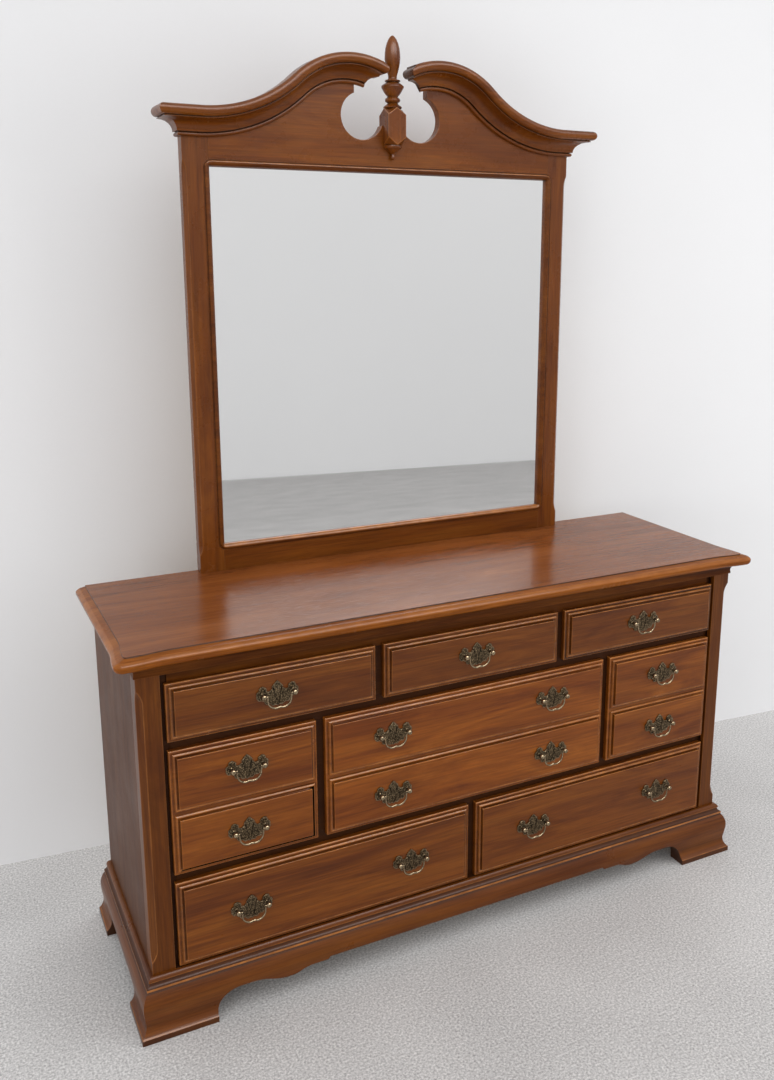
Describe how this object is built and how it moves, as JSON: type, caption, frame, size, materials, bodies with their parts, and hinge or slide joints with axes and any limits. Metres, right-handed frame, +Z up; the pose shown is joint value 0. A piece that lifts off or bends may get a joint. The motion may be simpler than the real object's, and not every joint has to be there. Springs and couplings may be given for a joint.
{
  "type": "dressing table",
  "caption": "Long dressing table with drawers, ogee bracket feet, bat-wing pulls and a tall mirror under a broken swan-neck pediment with a turned finial.",
  "frame": {"origin": "on the floor under the middle of the whole piece", "axes": "+X to the right along the front as seen by someone facing it, +Y towards the wall behind, +Z up"},
  "size_m": [1.536, 0.504, 2.011],
  "materials": {
    "case_wood": "satin lacquer",
    "front_wood": "satin lacquer",
    "top_wood": "rubbed lacquer",
    "side_wood": "satin lacquer",
    "mirror_wood": "satin lacquer",
    "inner_wood": "planed, bare",
    "drawer_wood": "planed, sealed",
    "board": "smooth board",
    "pull_brass": "antiqued",
    "mirror_glass": "silvered glass"
  },
  "bodies": {
    "case": {"top_board": "top_wood", "bed_moulding": "case_wood", "front_posts": "case_wood", "side_panels": "side_wood", "back_panel": "board", "rear_frame": "inner_wood", "face_frame": "case_wood", "drawer_runners": "inner_wood", "base_front": "case_wood", "base_sides": "case_wood", "rear_feet": "inner_wood", "glue_blocks": "inner_wood", "mirror_stiles": "mirror_wood", "mirror_bottom_rail": "mirror_wood", "mirror_glass": "mirror_glass", "mirror_backboard": "board", "mirror_bead": "mirror_wood", "mirror_crest": "mirror_wood", "crown_mouldings": "mirror_wood", "finial": "mirror_wood", "mirror_supports": "inner_wood"},
    "drawer_top_left": {"front_top_left": "front_wood", "box_top_left": "drawer_wood", "pulls_top_left": "pull_brass"},
    "bail_top_left": {"bail_top_left": "pull_brass"},
    "drawer_top_centre": {"front_top_centre": "front_wood", "box_top_centre": "drawer_wood", "pulls_top_centre": "pull_brass"},
    "bail_top_centre": {"bail_top_centre": "pull_brass"},
    "drawer_top_right": {"front_top_right": "front_wood", "box_top_right": "drawer_wood", "pulls_top_right": "pull_brass"},
    "bail_top_right": {"bail_top_right": "pull_brass"},
    "drawer_middle_left": {"front_middle_left": "front_wood", "box_middle_left": "drawer_wood", "pulls_middle_left": "pull_brass"},
    "bail_middle_left_upper": {"bail_middle_left_upper": "pull_brass"},
    "bail_middle_left_lower": {"bail_middle_left_lower": "pull_brass"},
    "drawer_middle_centre": {"front_middle_centre": "front_wood", "box_middle_centre": "drawer_wood", "pulls_middle_centre": "pull_brass"},
    "bail_middle_centre_upper_left": {"bail_middle_centre_upper_left": "pull_brass"},
    "bail_middle_centre_upper_right": {"bail_middle_centre_upper_right": "pull_brass"},
    "bail_middle_centre_lower_left": {"bail_middle_centre_lower_left": "pull_brass"},
    "bail_middle_centre_lower_right": {"bail_middle_centre_lower_right": "pull_brass"},
    "drawer_middle_right": {"front_middle_right": "front_wood", "box_middle_right": "drawer_wood", "pulls_middle_right": "pull_brass"},
    "bail_middle_right_upper": {"bail_middle_right_upper": "pull_brass"},
    "bail_middle_right_lower": {"bail_middle_right_lower": "pull_brass"},
    "drawer_bottom_left": {"front_bottom_left": "front_wood", "box_bottom_left": "drawer_wood", "pulls_bottom_left": "pull_brass"},
    "bail_bottom_left_left": {"bail_bottom_left_left": "pull_brass"},
    "bail_bottom_left_right": {"bail_bottom_left_right": "pull_brass"},
    "drawer_bottom_right": {"front_bottom_right": "front_wood", "box_bottom_right": "drawer_wood", "pulls_bottom_right": "pull_brass"},
    "bail_bottom_right_left": {"bail_bottom_right_left": "pull_brass"},
    "bail_bottom_right_right": {"bail_bottom_right_right": "pull_brass"}
  },
  "joints": [
    {"name": "slide_top_left", "type": "slide", "parent": "case", "child": "drawer_top_left", "axis": [0, -1, 0], "range_m": [0, 0.33]},
    {"name": "swing_top_left", "type": "hinge", "parent": "drawer_top_left", "child": "bail_top_left", "pos_m": [-0.455, -0.237, 0.683], "axis": [-1, 0, 0], "range_deg": [0, 120]},
    {"name": "slide_top_centre", "type": "slide", "parent": "case", "child": "drawer_top_centre", "axis": [0, -1, 0], "range_m": [0, 0.33]},
    {"name": "swing_top_centre", "type": "hinge", "parent": "drawer_top_centre", "child": "bail_top_centre", "pos_m": [0, -0.237, 0.683], "axis": [-1, 0, 0], "range_deg": [0, 120]},
    {"name": "slide_top_right", "type": "slide", "parent": "case", "child": "drawer_top_right", "axis": [0, -1, 0], "range_m": [0, 0.33]},
    {"name": "swing_top_right", "type": "hinge", "parent": "drawer_top_right", "child": "bail_top_right", "pos_m": [0.455, -0.237, 0.683], "axis": [-1, 0, 0], "range_deg": [0, 120]},
    {"name": "slide_middle_left", "type": "slide", "parent": "case", "child": "drawer_middle_left", "axis": [0, -1, 0], "range_m": [0, 0.33]},
    {"name": "swing_middle_left_upper", "type": "hinge", "parent": "drawer_middle_left", "child": "bail_middle_left_upper", "pos_m": [-0.522, -0.237, 0.54], "axis": [-1, 0, 0], "range_deg": [0, 120]},
    {"name": "swing_middle_left_lower", "type": "hinge", "parent": "drawer_middle_left", "child": "bail_middle_left_lower", "pos_m": [-0.522, -0.237, 0.403], "axis": [-1, 0, 0], "range_deg": [0, 120]},
    {"name": "slide_middle_centre", "type": "slide", "parent": "case", "child": "drawer_middle_centre", "axis": [0, -1, 0], "range_m": [0, 0.33]},
    {"name": "swing_middle_centre_upper_left", "type": "hinge", "parent": "drawer_middle_centre", "child": "bail_middle_centre_upper_left", "pos_m": [-0.202, -0.237, 0.54], "axis": [-1, 0, 0], "range_deg": [0, 120]},
    {"name": "swing_middle_centre_upper_right", "type": "hinge", "parent": "drawer_middle_centre", "child": "bail_middle_centre_upper_right", "pos_m": [0.202, -0.237, 0.54], "axis": [-1, 0, 0], "range_deg": [0, 120]},
    {"name": "swing_middle_centre_lower_left", "type": "hinge", "parent": "drawer_middle_centre", "child": "bail_middle_centre_lower_left", "pos_m": [-0.202, -0.237, 0.403], "axis": [-1, 0, 0], "range_deg": [0, 120]},
    {"name": "swing_middle_centre_lower_right", "type": "hinge", "parent": "drawer_middle_centre", "child": "bail_middle_centre_lower_right", "pos_m": [0.202, -0.237, 0.403], "axis": [-1, 0, 0], "range_deg": [0, 120]},
    {"name": "slide_middle_right", "type": "slide", "parent": "case", "child": "drawer_middle_right", "axis": [0, -1, 0], "range_m": [0, 0.33]},
    {"name": "swing_middle_right_upper", "type": "hinge", "parent": "drawer_middle_right", "child": "bail_middle_right_upper", "pos_m": [0.522, -0.237, 0.54], "axis": [-1, 0, 0], "range_deg": [0, 120]},
    {"name": "swing_middle_right_lower", "type": "hinge", "parent": "drawer_middle_right", "child": "bail_middle_right_lower", "pos_m": [0.522, -0.237, 0.403], "axis": [-1, 0, 0], "range_deg": [0, 120]},
    {"name": "slide_bottom_left", "type": "slide", "parent": "case", "child": "drawer_bottom_left", "axis": [0, -1, 0], "range_m": [0, 0.33]},
    {"name": "swing_bottom_left_left", "type": "hinge", "parent": "drawer_bottom_left", "child": "bail_bottom_left_left", "pos_m": [-0.523, -0.237, 0.2275], "axis": [-1, 0, 0], "range_deg": [0, 120]},
    {"name": "swing_bottom_left_right", "type": "hinge", "parent": "drawer_bottom_left", "child": "bail_bottom_left_right", "pos_m": [-0.1595, -0.237, 0.2275], "axis": [-1, 0, 0], "range_deg": [0, 120]},
    {"name": "slide_bottom_right", "type": "slide", "parent": "case", "child": "drawer_bottom_right", "axis": [0, -1, 0], "range_m": [0, 0.33]},
    {"name": "swing_bottom_right_left", "type": "hinge", "parent": "drawer_bottom_right", "child": "bail_bottom_right_left", "pos_m": [0.1595, -0.237, 0.2275], "axis": [-1, 0, 0], "range_deg": [0, 120]},
    {"name": "swing_bottom_right_right", "type": "hinge", "parent": "drawer_bottom_right", "child": "bail_bottom_right_right", "pos_m": [0.523, -0.237, 0.2275], "axis": [-1, 0, 0], "range_deg": [0, 120]}
  ]
}
